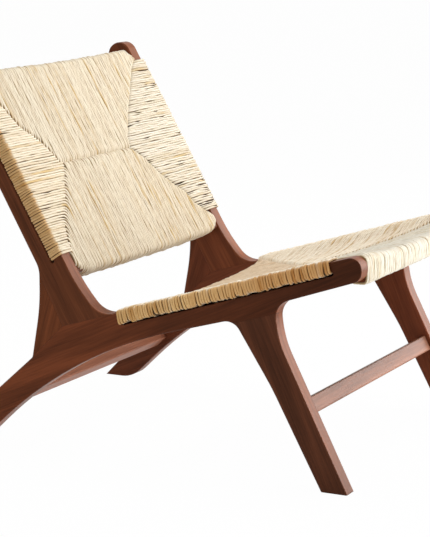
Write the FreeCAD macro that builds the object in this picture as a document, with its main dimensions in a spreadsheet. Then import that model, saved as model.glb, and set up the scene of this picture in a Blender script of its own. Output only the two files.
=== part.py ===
import FreeCAD, Part
import math
import os
import re
import Sketcher

# Lounge chair with two flat wooden side frames and rush-woven seat and back.
# Millimetres and degrees. X runs across the chair, Y from the front to the back, Z up.
# The origin is on the floor, below the middle of the chair's box.
# Each side frame is glued up from four boards: back post, gusset, lower rail and front leg.
# The side view is drawn with y measured back from the tip of the seat rail, z up from the floor.

SIZES = {
    # overall
    "overall_width": 630.0,
    "overall_depth": 835.0,
    "overall_height": 711.2,
    "board_thickness": 32.0,
    "board_edge_chamfer": 2.0,
    # lower rail: the seat part slopes down toward the back
    "seat_front_height": 420.5,
    "seat_slope": 16.86,
    "tip_height": 44.4,
    "tip_radius": 20.0,
    "tip_underside_slope": 18.7,
    "rail_depth_at_leg": 57.8,
    "rail_underside_slope": 15.6,
    "arch_radius": 915.0,
    # back leg, the rear end of the lower rail: straight from the notch to the foot but for its bulge
    "back_leg_bulge": 5.3,
    "back_leg_knee_share": 0.47,
    "back_leg_knee_radius": 900.0,
    "back_foot_length": 63.6,
    "back_heel_radius": 60.0,
    # front leg
    "front_foot_reach": 21.0,
    "front_foot_length": 49.2,
    "front_leg_angle": 63.0,
    "front_leg_neck_drop": 161.5,
    "front_leg_neck_angle": 82.9,
    "front_leg_neck_radius": 180.0,
    "front_leg_top_radius": 32.0,
    "leg_rear_angle": 61.4,
    "leg_rear_knee_share": 0.4133,
    "leg_rear_knee_radius": 500.0,
    "leg_rear_top_radius": 28.0,
    "leg_rear_reach": 267.4,
    "leg_joint_depth": 63.7,
    # back post and the toe that lands on the lower rail
    "toe_setback": 328.93,
    "toe_angle": 48.4,
    "toe_length": 71.5,
    "toe_radius": 48.0,
    "toe_bend_radius": 330.0,
    "post_angle": 59.75,
    "post_width": 51.5,
    "post_taper_angle": 0.55,
    "post_top_radius": 25.0,
    # gusset behind the post
    "waist_rise": 24.3,
    "waist_radius": 48.0,
    "gusset_length": 68.7,
    "gusset_bend_radius": 380.0,
    "gusset_flare_angle": 10.0,
    "notch_drop": 97.4,
    "notch_radius": 10.0,
    "gusset_joint_setback": 80.2,
    "gusset_joint_angle": 62.1,
    # slots that let the rush wrap round the front of the post and the top of the seat rail
    "post_bar": 18.0,
    "seat_bar": 15.5,
    "slot_width": 8.0,
    "slot_end_gap": 2.0,
    "back_wrap_start": 58.3,
    "back_wrap_top_gap": 53.5,
    "seat_wrap_start": 61.0,
    "seat_wrap_toe_gap": 42.8,
    # cross rails inside the rush
    "back_rail_height": 24.0,
    "back_rail_thickness": 30.0,
    "back_rail_setback": 17.0,
    "back_bottom_rail_rise": 34.8,
    "back_top_rail_drop": 39.5,
    "front_rail_height": 30.0,
    "front_rail_thickness": 18.0,
    "front_rail_reach": 15.0,
    "front_rail_drop": 37.5,
    "rear_rail_height": 28.0,
    "rear_rail_thickness": 20.0,
    "rear_rail_inset": 1.0,
    "rear_rail_drop": 31.0,
    "rail_corner_radius": 5.0,
    # stretchers between the legs
    "stretcher_width": 30.0,
    "stretcher_thickness": 20.0,
    "stretcher_corner_radius": 3.0,
    "front_stretcher_rise": 164.0,
    "front_stretcher_setback": 8.0,
    "rear_stretcher_rise": 111.6,
    "rear_stretcher_setback": 11.0,
    # joinery
    "tenon_length": 20.0,
    "tenon_shoulder": 4.0,
    "rear_tenon_drop": 7.0,
    "dowel_radius": 5.0,
    "dowel_length": 56.0,
    "gusset_dowel_length": 40.0,
    "leg_dowel_reach": 221.0,
    "leg_dowel_spacing": 34.0,
    "post_dowel_setback": 44.2,
    "post_dowel_spacing": 36.0,
    "gusset_dowel_start": 18.0,
    "gusset_dowel_spacing": 24.0,
    # rush
    "rush_thickness": 5.5,
    "rush_corner_radius": 5.0,
    "sleeve_corner_radius": 11.0,
    "seat_dip": 20.0,
    "seat_crest_radius": 14.0,
    "seat_rear_drop": 9.0,
    "seat_panel_depth": 32.0,
    "back_panel_depth": 27.0,
    # no corner's rounding takes more than this share of the shorter side next to it
    "corner_share": 0.76,
    # cutting blocks run past the wood by this much
    "overrun": 60.0,
}

doc = FreeCAD.newDocument("lounge_chair")
sheet = doc.addObject("Spreadsheet::Sheet", "Sizes")
for row, (alias, number) in enumerate(SIZES.items(), start=1):
    sheet.set("A%d" % row, alias)
    sheet.set("B%d" % row, str(number))
    sheet.setAlias("B%d" % row, alias)
doc.recompute()


def expression(text):
    """The expression with each size's name turned into its cell in the sheet."""
    return re.sub(r"[a-z][a-z_]*",
                  lambda word: "Sizes." + word[0] if word[0] in SIZES else word[0], text)


def value(text):
    return float(sheet.evalExpression(expression(text)))


def bind(target, name, text):
    target.setExpression(name, expression(text))


# Points of the side view are pairs of expressions (y, z).


def step(point, angle, distance, side="0"):
    """The point reached by going a distance along an angle, then square to it, up being positive."""
    y, z = point
    return ("(%s) + (%s) * cos(%s) - (%s) * sin(%s)" % (y, distance, angle, side, angle),
            "(%s) + (%s) * sin(%s) + (%s) * cos(%s)" % (z, distance, angle, side, angle))


def at_height(point, angle, height):
    """The point at a given height on the line through a point."""
    y, z = point
    return ("(%s) + ((%s) - (%s)) / tan(%s)" % (y, height, z, angle), height)


def step_level(point, angle, run):
    """The point on the line through a point, a level distance further back."""
    y, z = point
    return ("(%s) + (%s)" % (y, run), "(%s) + (%s) * tan(%s)" % (z, run, angle))


def meet(first, first_angle, second, second_angle):
    """Where two lines cross, each given by a point and an angle."""
    rise = "((%s) - (%s))" % (second[1], first[1])
    across = "((%s) - (%s))" % (second[0], first[0])
    run = "(%s - %s * tan(%s)) / (tan(%s) - tan(%s))" % (
        rise, across, second_angle, first_angle, second_angle)
    return step_level(first, first_angle, run)


# Corners of the side frame before their rounding, from the tip of the seat rail round the frame.
SEAT = "(0 - seat_slope)"
TIP = ("0", "seat_front_height")
SEAT_LENGTH = "((overall_depth - toe_setback) / cos(seat_slope))"
TOE = step(TIP, SEAT, SEAT_LENGTH)
POST_FOOT = step(TOE, "toe_angle", "toe_length")
TOP_ROUNDING = "post_top_radius * (sin(post_angle) + cos(post_angle) - 1)"
POST_LENGTH = "(overall_height + %s - (%s)) / sin(post_angle)" % (TOP_ROUNDING, POST_FOOT[1])
POST_TOP = step(POST_FOOT, "post_angle", POST_LENGTH)
POST_REAR_TOP = step(POST_TOP, "post_angle", "0", "0 - post_width")
WAIST_HEIGHT = "(%s + waist_rise)" % POST_FOOT[1]
WAIST = at_height(POST_REAR_TOP, "(post_angle + post_taper_angle)", WAIST_HEIGHT)
GUSSET_BEND = (WAIST[0], "(%s - gusset_length)" % WAIST_HEIGHT)
NOTCH_HEIGHT = "(%s - gusset_length - notch_drop)" % WAIST_HEIGHT
NOTCH = at_height(GUSSET_BEND, "(90 + gusset_flare_angle)", NOTCH_HEIGHT)
BACK_FOOT = ("overall_depth", "0")
BACK_LEG = "atan2(0 - %s; overall_depth - (%s))" % (NOTCH_HEIGHT, NOTCH[0])
BACK_KNEE = step(NOTCH, BACK_LEG, "(back_leg_knee_share - 1) * %s / sin(%s)" % (NOTCH_HEIGHT, BACK_LEG),
                 "back_leg_bulge")
BACK_HEEL = ("overall_depth - back_foot_length", "0")
LEG_REAR_TOP = step(TIP, SEAT, "leg_rear_reach", "0 - rail_depth_at_leg")
ARCH = meet(LEG_REAR_TOP, "(0 - rail_underside_slope)", BACK_HEEL, BACK_LEG)
FRONT_HEEL = ("front_foot_reach + front_foot_length", "0")
LEG_REAR_KNEE = at_height(FRONT_HEEL, "leg_rear_angle", "leg_rear_knee_share * seat_front_height")
FRONT_FOOT = ("front_foot_reach", "0")
NECK = at_height(FRONT_FOOT, "front_leg_angle", "seat_front_height - front_leg_neck_drop")
TIP_UNDER = ("0", "seat_front_height - tip_height")
LEG_FRONT_TOP = meet(TIP_UNDER, "(0 - tip_underside_slope)", NECK, "front_leg_neck_angle")

FRAME_OUTLINE = [
    (TIP, "tip_radius"),
    (TOE, "toe_radius"),
    (POST_FOOT, "toe_bend_radius"),
    (POST_TOP, "post_top_radius"),
    (POST_REAR_TOP, "post_top_radius"),
    (WAIST, "waist_radius"),
    (GUSSET_BEND, "gusset_bend_radius"),
    (NOTCH, "notch_radius"),
    (BACK_KNEE, "back_leg_knee_radius"),
    (BACK_FOOT, None),
    (BACK_HEEL, "back_heel_radius"),
    (ARCH, "arch_radius"),
    (LEG_REAR_TOP, "leg_rear_top_radius"),
    (LEG_REAR_KNEE, "leg_rear_knee_radius"),
    (FRONT_HEEL, None),
    (FRONT_FOOT, None),
    (NECK, "front_leg_neck_radius"),
    (LEG_FRONT_TOP, "front_leg_top_radius"),
    (TIP_UNDER, "tip_radius"),
]

# How far the rush is wound along the posts and the seat rails.
BACK_WRAP_LENGTH = "(%s - back_wrap_start - back_wrap_top_gap)" % POST_LENGTH
SEAT_WRAP_LENGTH = "(%s - seat_wrap_start - seat_wrap_toe_gap)" % SEAT_LENGTH

# Where the boards of a side frame meet.
SEAM_CORNER = step(TIP, SEAT, SEAT_LENGTH + " + gusset_joint_setback")
SEAM_TOP = at_height(SEAM_CORNER, "gusset_joint_angle", WAIST_HEIGHT)
NOTCH_OUTSIDE = ("(%s) + overrun" % NOTCH[0], "(%s) + overrun" % NOTCH[1])
LEG_SEAM_FRONT = step(TIP, SEAT, "0 - overrun", "0 - leg_joint_depth")
LEG_SEAM_REAR = step(TIP, SEAT, "leg_rear_reach + overrun", "0 - leg_joint_depth")
RAIL_LINE_FRONT = step(TIP, SEAT, "0 - overrun")
BEHIND = "overall_depth + overall_height"
ABOVE = "overall_height + overrun"
BELOW = "0 - overrun"

BOARDS = {
    "back_post": [RAIL_LINE_FRONT, SEAM_CORNER, SEAM_TOP, (BEHIND, SEAM_TOP[1]), (BEHIND, ABOVE),
                  (RAIL_LINE_FRONT[0], ABOVE)],
    "gusset": [SEAM_CORNER, NOTCH, NOTCH_OUTSIDE, (BEHIND, NOTCH_OUTSIDE[1]),
               (BEHIND, SEAM_TOP[1]), SEAM_TOP],
    "lower_rail": [RAIL_LINE_FRONT, LEG_SEAM_FRONT, LEG_SEAM_REAR, (LEG_SEAM_REAR[0], BELOW),
                   (BEHIND, BELOW), (BEHIND, NOTCH_OUTSIDE[1]), NOTCH_OUTSIDE, NOTCH, SEAM_CORNER],
    "front_leg": [LEG_SEAM_FRONT, (LEG_SEAM_FRONT[0], BELOW), (LEG_SEAM_REAR[0], BELOW), LEG_SEAM_REAR],
}


def side_plane(body):
    """The body's own upright plane that looks across the chair."""
    return [part for part in body.Origin.OriginFeatures if part.Role == "YZ_Plane"][0]


def new_sketch(body, name):
    sketch = body.newObject("Sketcher::SketchObject", name)
    sketch.AttachmentSupport = (side_plane(body), [""])
    sketch.MapMode = "FlatFace"
    return sketch


def pin(sketch, index, position, point):
    """Hold one point of a sketch at its two expressions."""
    for kind, text in zip(("DistanceX", "DistanceY"), point):
        number = sketch.addConstraint(Sketcher.Constraint(kind, -1, 1, index, position, value(text)))
        bind(sketch, "Constraints[%d]" % number, text)


def room_for(radius, before, corner, after):
    """A corner's radius, or the largest one that its sides leave room for."""
    sides = [before - corner, after - corner]
    half = sides[0].getAngle(sides[1]) / 2
    room = value("corner_share") * min(side.Length for side in sides) * math.tan(half)
    return radius if value(radius) <= room else "%.4f" % room


def rounded_corner(sketch, before, corner, after, radius):
    """An arc that is tangent to both sides of a corner, and the lengths that it takes from them."""
    inward = (before - corner).normalize()
    outward = (after - corner).normalize()
    half = inward.getAngle(outward) / 2
    setback = radius / math.tan(half)
    first = corner + inward * setback
    last = corner + outward * setback
    centre = corner + (inward + outward).normalize() * (radius / math.sin(half))
    left_turn = (corner - before).cross(after - corner).z > 0
    start, stop = (first, last) if left_turn else (last, first)
    angles = [math.atan2(end.y - centre.y, end.x - centre.x) for end in (start, stop)]
    arc = Part.ArcOfCircle(Part.Circle(centre, FreeCAD.Vector(0, 0, 1), radius), angles[0], angles[1])
    number = sketch.addGeometry(arc, False)
    ends = (1, 2) if left_turn else (2, 1)
    return number, ends, first, last


def polygon(body, name, points, radii=None):
    """A closed outline through corners, rounded by tangent arcs where a corner has a radius."""
    sketch = new_sketch(body, name)
    corners = [FreeCAD.Vector(value(y), value(z), 0) for y, z in points]
    count = len(points)
    radii = list(radii or [None] * count)
    joints = []
    for index, corner in enumerate(corners):
        before, after = corners[index - 1], corners[(index + 1) % count]
        if radii[index]:
            radii[index] = room_for(radii[index], before, corner, after)
            joints.append(rounded_corner(sketch, before, corner, after, value(radii[index])))
        else:
            joints.append((None, None, corner, corner))
    lines = []
    for index in range(count):
        start, end = joints[index][3], joints[(index + 1) % count][2]
        lines.append(sketch.addGeometry(Part.LineSegment(start, end), False))
    for index, (point, radius) in enumerate(zip(points, radii)):
        arc, ends = joints[index][:2]
        into, out_of = lines[index - 1], lines[index]
        if radius is None:
            sketch.addConstraint(Sketcher.Constraint("Coincident", into, 2, out_of, 1))
            pin(sketch, out_of, 1, point)
            continue
        sketch.addConstraint(Sketcher.Constraint("Tangent", into, 2, arc, ends[0]))
        sketch.addConstraint(Sketcher.Constraint("Tangent", arc, ends[1], out_of, 1))
        number = sketch.addConstraint(Sketcher.Constraint("Radius", arc, value(radius)))
        bind(sketch, "Constraints[%d]" % number, radius)
        mark = sketch.addGeometry(Part.Point(corners[index]), True)
        sketch.addConstraint(Sketcher.Constraint("PointOnObject", mark, 1, into))
        sketch.addConstraint(Sketcher.Constraint("PointOnObject", mark, 1, out_of))
        pin(sketch, mark, 1, point)
    return sketch


def slot_sketch(body, name, start, end):
    """A slot with round ends between two centres."""
    sketch = new_sketch(body, name)
    radius = value("slot_width / 2")
    first = FreeCAD.Vector(value(start[0]), value(start[1]), 0)
    last = FreeCAD.Vector(value(end[0]), value(end[1]), 0)
    along = (last - first).normalize()
    square = FreeCAD.Vector(-along.y, along.x, 0) * radius
    normal = FreeCAD.Vector(0, 0, 1)
    heading = math.atan2(along.y, along.x)
    quarter = math.pi / 2
    sketch.addGeometry(Part.LineSegment(first - square, last - square), False)
    sketch.addGeometry(Part.LineSegment(last + square, first + square), False)
    for centre, turn in ((last, heading - quarter), (first, heading + quarter)):
        circle = Part.Circle(centre, normal, radius)
        sketch.addGeometry(Part.ArcOfCircle(circle, turn, turn + 2 * quarter), False)
    sketch.addConstraint(Sketcher.Constraint("Tangent", 0, 2, 2, 1))
    sketch.addConstraint(Sketcher.Constraint("Tangent", 2, 2, 1, 1))
    sketch.addConstraint(Sketcher.Constraint("Tangent", 1, 2, 3, 1))
    sketch.addConstraint(Sketcher.Constraint("Tangent", 3, 2, 0, 1))
    number = sketch.addConstraint(Sketcher.Constraint("Radius", 2, radius))
    bind(sketch, "Constraints[%d]" % number, "slot_width / 2")
    pin(sketch, 3, 3, start)
    pin(sketch, 2, 3, end)
    return sketch


def pad(body, sketch, length, symmetric=False):
    feature = body.newObject("PartDesign::Pad", sketch.Name + "_pad")
    feature.Profile = sketch
    if symmetric:
        feature.SideType = "Symmetric"
    bind(feature, "Length", length)
    doc.recompute()
    return feature


def soften(body, base, names, kind, size_name, size):
    """Round or chamfer some edges of a feature."""
    feature = body.newObject("PartDesign::" + kind, base.Name + "_" + kind.lower())
    feature.Base = (base, names)
    bind(feature, size_name, size)
    doc.recompute()
    return feature


def side_frame():
    """The whole side frame before it is divided into its boards."""
    body = doc.addObject("PartDesign::Body", "side_frame")
    corners, radii = zip(*FRAME_OUTLINE)
    solid = pad(body, polygon(body, "frame_outline", corners, radii), "board_thickness")
    solid = soften(body, solid, face_edges(solid.Shape), "Chamfer", "Size", "board_edge_chamfer")
    post_line = step(POST_FOOT, "post_angle", "back_wrap_start", "0 - post_bar - slot_width / 2")
    slot_end = "slot_width / 2 - slot_end_gap"
    start = step(post_line, "post_angle", slot_end)
    end = step(post_line, "post_angle", "%s - (%s)" % (BACK_WRAP_LENGTH, slot_end))
    cut_slot(body, slot_sketch(body, "post_slot", start, end))
    rail_line = step(TIP, SEAT, "seat_wrap_start", "0 - seat_bar - slot_width / 2")
    start = step(rail_line, SEAT, slot_end)
    end = step(rail_line, SEAT, "%s - (%s)" % (SEAT_WRAP_LENGTH, slot_end))
    cut_slot(body, slot_sketch(body, "seat_slot", start, end))
    bind(body, "Placement.Base.x", "0 - overall_width / 2")
    bind(body, "Placement.Base.y", "0 - overall_depth / 2")
    return body


def face_edges(shape):
    """The edges of the two flat faces, without those of the feet's soles."""
    names = []
    for number, edge in enumerate(shape.Edges, start=1):
        box = edge.BoundBox
        flat = box.XLength < box.DiagonalLength / 2
        on_floor = box.ZMax < value("board_edge_chamfer") / 2
        if flat and not on_floor:
            names.append("Edge%d" % number)
    return names


def cut_slot(body, sketch):
    before = body.Shape.Volume
    feature = body.newObject("PartDesign::Pocket", sketch.Name + "_pocket")
    feature.Profile = sketch
    feature.Type = "ThroughAll"
    feature.SideType = "Symmetric"
    doc.recompute()
    if not body.Shape.Volume < before:
        raise RuntimeError(sketch.Name + " cuts nothing")


def board_region(name, points):
    """The block of space that one board of the right frame is cut from."""
    body = doc.addObject("PartDesign::Body", name + "_region")
    pad(body, polygon(body, name + "_edges", points), "board_thickness")
    bind(body, "Placement.Base.x", "0 - overall_width / 2")
    bind(body, "Placement.Base.y", "0 - overall_depth / 2")
    return body


def place(body, centre, tilt):
    """Put a body drawn round its own axis at a point of the side view, tilted up toward the back."""
    body.Placement = FreeCAD.Placement(FreeCAD.Vector(), FreeCAD.Rotation(FreeCAD.Vector(1, 0, 0), 1))
    bind(body, "Placement.Base.y", "(%s) - overall_depth / 2" % centre[0])
    bind(body, "Placement.Base.z", centre[1])
    bind(body, "Placement.Rotation.Angle", tilt)


def bar(name, centre, tilt, width, height, radius, length, tenon_drop=None):
    """A bar across the chair, with a rectangular section and, if asked for, a tenon at each end."""
    body = doc.addObject("PartDesign::Body", name)
    half = ("(%s) / 2" % width, "(%s) / 2" % height)
    section = [("0 - " + half[0], "0 - " + half[1]), (half[0], "0 - " + half[1]), half,
               ("0 - " + half[0], half[1])]
    pad(body, polygon(body, name + "_section", section, [radius] * len(section)), length, True)
    if tenon_drop:
        across = ("(%s) / 2 - tenon_shoulder" % width)
        upper = "(%s) / 2 - tenon_shoulder - (%s)" % (height, tenon_drop)
        lower = "0 - (%s) / 2 + tenon_shoulder" % height
        tenon = [("0 - (%s)" % across, lower), (across, lower),
                 (across, upper), ("0 - (%s)" % across, upper)]
        pad(body, polygon(body, name + "_tenon", tenon), "(%s) + 2 * tenon_length" % length, True)
    place(body, centre, tilt)
    return body


def dowels(name, joint, angle, spacing, length):
    """Two dowels square to a glued joint, one spacing apart along it."""
    pins = []
    for number in (0, 1):
        pin_object = doc.addObject("Part::Cylinder", "%s_%d" % (name, number + 1))
        bind(pin_object, "Radius", "dowel_radius")
        bind(pin_object, "Height", length)
        centre = step(joint, angle, "%s * %d" % (spacing, number), "0 - (%s) / 2" % length)
        place(pin_object, centre, angle)
        bind(pin_object, "Placement.Base.x", "(board_thickness - overall_width) / 2")
        pins.append(pin_object)
    group = doc.addObject("Part::Compound", "right_" + name)
    group.Links = pins
    return group


def mirrored(source, name):
    """The left frame's piece, the mirror image of the right one."""
    piece = doc.addObject("Part::Mirroring", name)
    piece.Source = source
    piece.Base = FreeCAD.Vector()
    piece.Normal = FreeCAD.Vector(1, 0, 0)
    return piece


def cut(name, base, tool):
    piece = doc.addObject("Part::Cut", name)
    piece.Base = base
    piece.Tool = tool
    return piece


def together(name, links):
    group = doc.addObject("Part::Compound", name)
    group.Links = links
    return group


INNER_WIDTH = "(overall_width - 2 * board_thickness)"
BACK_BOTTOM = step(POST_FOOT, "post_angle", "back_bottom_rail_rise", "0 - back_rail_setback")
BACK_TOP = step(POST_FOOT, "post_angle", "%s - back_top_rail_drop" % POST_LENGTH, "0 - back_rail_setback")
SEAT_FRONT = ("front_rail_reach", "(seat_front_height - front_rail_drop)")
REAR_RAIL_REACH = "seat_wrap_start + %s - rear_rail_inset" % SEAT_WRAP_LENGTH
SEAT_REAR = step(TIP, SEAT, REAR_RAIL_REACH, "0 - rear_rail_drop")
FRONT_STRETCHER = step(FRONT_FOOT, "front_leg_angle", "front_stretcher_rise",
                       "0 - front_stretcher_setback - stretcher_thickness / 2")
REAR_STRETCHER = step(BACK_HEEL, BACK_LEG, "0 - rear_stretcher_rise",
                      "rear_stretcher_setback + stretcher_thickness / 2")


def cross_members():
    """Rails and stretchers, each with its centre, tilt, section and corner radius."""
    table = {
        "back_top_rail": (BACK_TOP, "post_angle", "back_rail_height", "back_rail_thickness",
                          "rail_corner_radius", "0"),
        "back_bottom_rail": (BACK_BOTTOM, "post_angle", "back_rail_height", "back_rail_thickness",
                             "rail_corner_radius", "0"),
        "seat_front_rail": (SEAT_FRONT, "0", "front_rail_thickness", "front_rail_height",
                            "rail_corner_radius", "0"),
        "seat_rear_rail": (SEAT_REAR, SEAT, "rear_rail_thickness", "rear_rail_height",
                           "rail_corner_radius", "rear_tenon_drop"),
        "front_stretcher": (FRONT_STRETCHER, "front_leg_angle", "stretcher_width", "stretcher_thickness",
                            "stretcher_corner_radius", "0"),
        "rear_stretcher": (REAR_STRETCHER, BACK_LEG, "stretcher_width",
                           "stretcher_thickness", "stretcher_corner_radius", "0"),
    }
    return {name: bar(name, centre, tilt, width, height, radius, INNER_WIDTH, drop)
            for name, (centre, tilt, width, height, radius, drop) in table.items()}


def right_frame(frame, rails, pins):
    """The four boards, each cut from the frame, with its mortises and dowel holes."""
    inserts = together("right_inserts", rails + pins)
    pieces = {}
    for name, points in BOARDS.items():
        blank = doc.addObject("Part::Common", name + "_blank")
        blank.Base = frame
        blank.Tool = board_region(name, points)
        pieces[name] = cut("right_" + name, blank, inserts)
    return pieces


def rush_sleeve(name, centre, tilt, width, height):
    """The rush wound round a cross rail."""
    return bar(name, centre, tilt, width + " + 2 * rush_thickness", height + " + 2 * rush_thickness",
               "sleeve_corner_radius", INNER_WIDTH)


def wrap(name, origin, angle, length, bar_size):
    """The rush wound round a bar of both side frames, as one block from side to side."""
    body = doc.addObject("PartDesign::Body", name)
    low = "0 - (%s) - rush_thickness" % bar_size
    corners = [step(origin, angle, "0", low), step(origin, angle, length, low),
               step(origin, angle, length, "rush_thickness"), step(origin, angle, "0", "rush_thickness")]
    solid = pad(body, polygon(body, name + "_side", corners), "overall_width + 2 * rush_thickness", True)
    reach = value("overall_width / 2")
    names = []
    for number, edge in enumerate(solid.Shape.Edges, start=1):
        at_side = abs(edge.BoundBox.XMin) > reach
        level = edge.BoundBox.XLength < edge.BoundBox.DiagonalLength / 2
        if at_side and level and edge.Length > value(length) / 2:
            names.append("Edge%d" % number)
    soften(body, solid, names, "Fillet", "Radius", "rush_corner_radius")
    bind(body, "Placement.Base.y", "0 - overall_depth / 2")
    return body


def panel(name, points, radii=None):
    """The woven field between the side frames."""
    body = doc.addObject("PartDesign::Body", name)
    pad(body, polygon(body, name + "_side", points, radii), INNER_WIDTH, True)
    bind(body, "Placement.Base.y", "0 - overall_depth / 2")
    return body


def back_rush():
    start = step(POST_FOOT, "post_angle", "back_wrap_start")
    skin = "back_rail_thickness / 2 + rush_thickness - back_rail_setback"
    bottom, top = "back_bottom_rail_rise", "%s - back_top_rail_drop" % POST_LENGTH
    corners = [step(POST_FOOT, "post_angle", bottom, skin),
               step(POST_FOOT, "post_angle", top, skin),
               step(POST_FOOT, "post_angle", top, "0 - back_panel_depth"),
               step(POST_FOOT, "post_angle", bottom, "0 - back_panel_depth")]
    rail = ("post_angle", "back_rail_height", "back_rail_thickness")
    blocks = [
        panel("back_panel", corners),
        wrap("back_wraps", start, "post_angle", BACK_WRAP_LENGTH, "post_bar"),
        rush_sleeve("back_top_sleeve", BACK_TOP, *rail),
        rush_sleeve("back_bottom_sleeve", BACK_BOTTOM, *rail),
    ]
    return fused("back_rush", blocks)


def seat_rush():
    """The seat's rush, dished between the side frames and rolled over both rails."""
    rolled = "rush_thickness + rear_rail_thickness / 2"
    front = "front_rail_reach - front_rail_thickness / 2 - rush_thickness"
    top = step(TIP, SEAT, "0", "rush_thickness")
    corners = [
        (front, SEAT_FRONT[1]),
        step(TIP, SEAT, "front_rail_reach", "0 - seat_panel_depth"),
        step(TIP, SEAT, REAR_RAIL_REACH, "0 - seat_panel_depth"),
        step(TIP, SEAT, REAR_RAIL_REACH + " + " + rolled, "0 - rear_rail_drop"),
        step(TIP, SEAT, REAR_RAIL_REACH + " + " + rolled, "rush_thickness - seat_rear_drop"),
        step(TIP, SEAT, "seat_wrap_start + " + SEAT_WRAP_LENGTH, "rush_thickness"),
        step_level(top, SEAT, "%s - (%s)" % (front, top[0])),
    ]
    radii = [None, None, None, None, "rush_corner_radius", None, "seat_crest_radius"]
    wraps = wrap("seat_wraps", step(TIP, SEAT, "seat_wrap_start"), SEAT, SEAT_WRAP_LENGTH, "seat_bar")
    full = fused("seat_field", [panel("seat_panel", corners, radii), wraps])
    blocks = [
        cut("seat_field_dished", full, seat_dish()),
        rush_sleeve("seat_front_sleeve", SEAT_FRONT, "0", "front_rail_thickness", "front_rail_height"),
        rush_sleeve("seat_rear_sleeve", SEAT_REAR, SEAT, "rear_rail_thickness", "rear_rail_height"),
    ]
    return fused("seat_rush", blocks)


def seat_dish():
    """The wide cylinder that dishes the seat between the side frames."""
    dish = doc.addObject("Part::Cylinder", "seat_dish")
    half = "(overall_width / 2 - board_thickness)"
    radius = "(%s ^ 2 + seat_dip ^ 2) / (2 * seat_dip)" % half
    bind(dish, "Radius", radius)
    bind(dish, "Height", SEAT_LENGTH + " + 2 * overrun")
    place(dish, step(TIP, SEAT, SEAT_LENGTH + " + overrun",
                     "%s + rush_thickness - seat_dip" % radius), "90 - seat_slope")
    return dish


def fused(name, blocks):
    joined = doc.addObject("Part::MultiFuse", name)
    joined.Shapes = blocks
    return joined


frame = side_frame()
rails = cross_members()
leg_joint = step(TIP, SEAT, "leg_dowel_reach - leg_dowel_spacing / 2", "0 - leg_joint_depth")
post_joint = step(TIP, SEAT, SEAT_LENGTH + " + post_dowel_setback - post_dowel_spacing / 2")
gusset_angle = "atan2((%s) - (%s); (%s) - (%s))" % (NOTCH[1], SEAM_CORNER[1], NOTCH[0], SEAM_CORNER[0])
gusset_joint = step(SEAM_CORNER, gusset_angle, "gusset_dowel_start")
pins = {
    "leg_dowels": dowels("leg_dowels", leg_joint, SEAT, "leg_dowel_spacing", "dowel_length"),
    "post_dowels": dowels("post_dowels", post_joint, SEAT, "post_dowel_spacing", "dowel_length"),
    "gusset_dowels": dowels("gusset_dowels", gusset_joint, gusset_angle, "gusset_dowel_spacing",
                            "gusset_dowel_length"),
}
boards = right_frame(frame, list(rails.values()), list(pins.values()))
parts = {"right_" + name: piece for name, piece in boards.items()}
parts.update({"right_" + name: piece for name, piece in pins.items()})
parts.update({name.replace("right_", "left_"): mirrored(piece, name.replace("right_", "left_"))
              for name, piece in list(parts.items())})
parts.update(rails)
left_frame = mirrored(frame, "left_side_frame")
wood = together("wood", [frame, left_frame] + list(rails.values()))
parts["back_weave"] = cut("back_weave", back_rush(), wood)
parts["seat_weave"] = cut("seat_weave", seat_rush(), wood)
doc.recompute()

for feature in doc.Objects:
    if "Invalid" in feature.State or "Error" in feature.State:
        raise RuntimeError("%s failed: %s" % (feature.Label, feature.State))
for name, piece in parts.items():
    piece.Label = name
    if piece.Shape.isNull() or not piece.Shape.isValid() or not piece.Shape.Solids:
        raise RuntimeError(name + " has no valid solid")

os.makedirs("parts", exist_ok=True)
for name, piece in parts.items():
    piece.Shape.exportStep(os.path.join("parts", name + ".step"))
    print("%-20s %2d solids %9.0f mm3" % (name, len(piece.Shape.Solids), piece.Shape.Volume))
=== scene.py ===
import math

import bpy
import numpy as np
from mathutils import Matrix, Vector


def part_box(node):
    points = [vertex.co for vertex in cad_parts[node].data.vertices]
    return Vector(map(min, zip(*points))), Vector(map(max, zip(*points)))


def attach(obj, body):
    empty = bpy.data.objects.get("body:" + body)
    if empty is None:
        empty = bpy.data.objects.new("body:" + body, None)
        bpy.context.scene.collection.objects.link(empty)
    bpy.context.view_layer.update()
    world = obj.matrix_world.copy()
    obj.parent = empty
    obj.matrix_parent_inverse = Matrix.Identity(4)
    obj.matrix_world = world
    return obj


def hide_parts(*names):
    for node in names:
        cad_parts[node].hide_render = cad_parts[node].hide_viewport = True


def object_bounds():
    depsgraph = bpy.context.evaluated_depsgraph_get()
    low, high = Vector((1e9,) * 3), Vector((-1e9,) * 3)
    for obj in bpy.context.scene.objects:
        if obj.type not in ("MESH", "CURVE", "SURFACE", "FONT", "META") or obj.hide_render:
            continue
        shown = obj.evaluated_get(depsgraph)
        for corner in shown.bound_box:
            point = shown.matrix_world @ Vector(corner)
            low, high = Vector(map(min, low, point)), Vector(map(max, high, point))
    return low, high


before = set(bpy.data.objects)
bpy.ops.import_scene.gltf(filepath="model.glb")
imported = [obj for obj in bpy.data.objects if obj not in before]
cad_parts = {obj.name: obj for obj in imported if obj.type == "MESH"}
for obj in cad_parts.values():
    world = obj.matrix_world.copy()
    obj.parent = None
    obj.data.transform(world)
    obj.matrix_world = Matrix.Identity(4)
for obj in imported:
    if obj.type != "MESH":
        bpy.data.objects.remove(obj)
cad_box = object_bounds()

# Low lounge chair: flat wooden side frames, seat and back wound with twisted rush.
# Metres and degrees. X across the chair, Y from the front to the back, Z up.
# Each woven panel has its own plane: x across, s along the side frame's edge, n square to it.

# camera, fitted to the photograph
CAMERA_PLACE = (-3.41863, -1.69767, 1.01603)
CAMERA_TILT = 79.543
CAMERA_HEADING = -63.405
CAMERA_LENS = 170.295
SENSOR_WIDTH = 36.0
CAMERA_REACH = 200.0

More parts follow.
